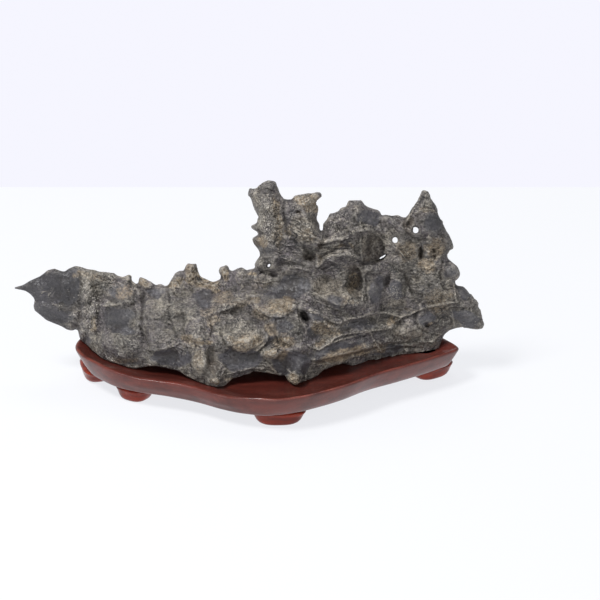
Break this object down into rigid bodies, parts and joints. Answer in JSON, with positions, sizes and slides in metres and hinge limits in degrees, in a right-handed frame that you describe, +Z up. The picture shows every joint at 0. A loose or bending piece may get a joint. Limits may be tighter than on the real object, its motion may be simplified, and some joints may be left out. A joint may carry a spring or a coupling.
{
  "type": "scholars rock on stand",
  "caption": "Jagged dark limestone scholar's rock, long and low with a pierced crest, resting in the dished top of a carved rosewood stand on bracket feet.",
  "frame": {"origin": "centre of the whole object's footprint, on the surface that the feet stand on", "axes": "+X along the rock's length, towards its pierced right-hand peak; +Y towards the back; +Z up"},
  "size_m": [0.3716, 0.1648, 0.1773],
  "materials": {
    "limestone": "weathered dark grey limestone with brown crust, thin pale calcite veins and a low waxed sheen",
    "rosewood": "satin varnished dark red rosewood"
  },
  "bodies": {
    "root": {"rock": "limestone", "stand_slab": "rosewood", "foot_front": "rosewood", "foot_left": "rosewood", "foot_left_end": "rosewood", "foot_right": "rosewood", "foot_rear_left": "rosewood", "foot_rear_right": "rosewood"}
  },
  "joints": []
}
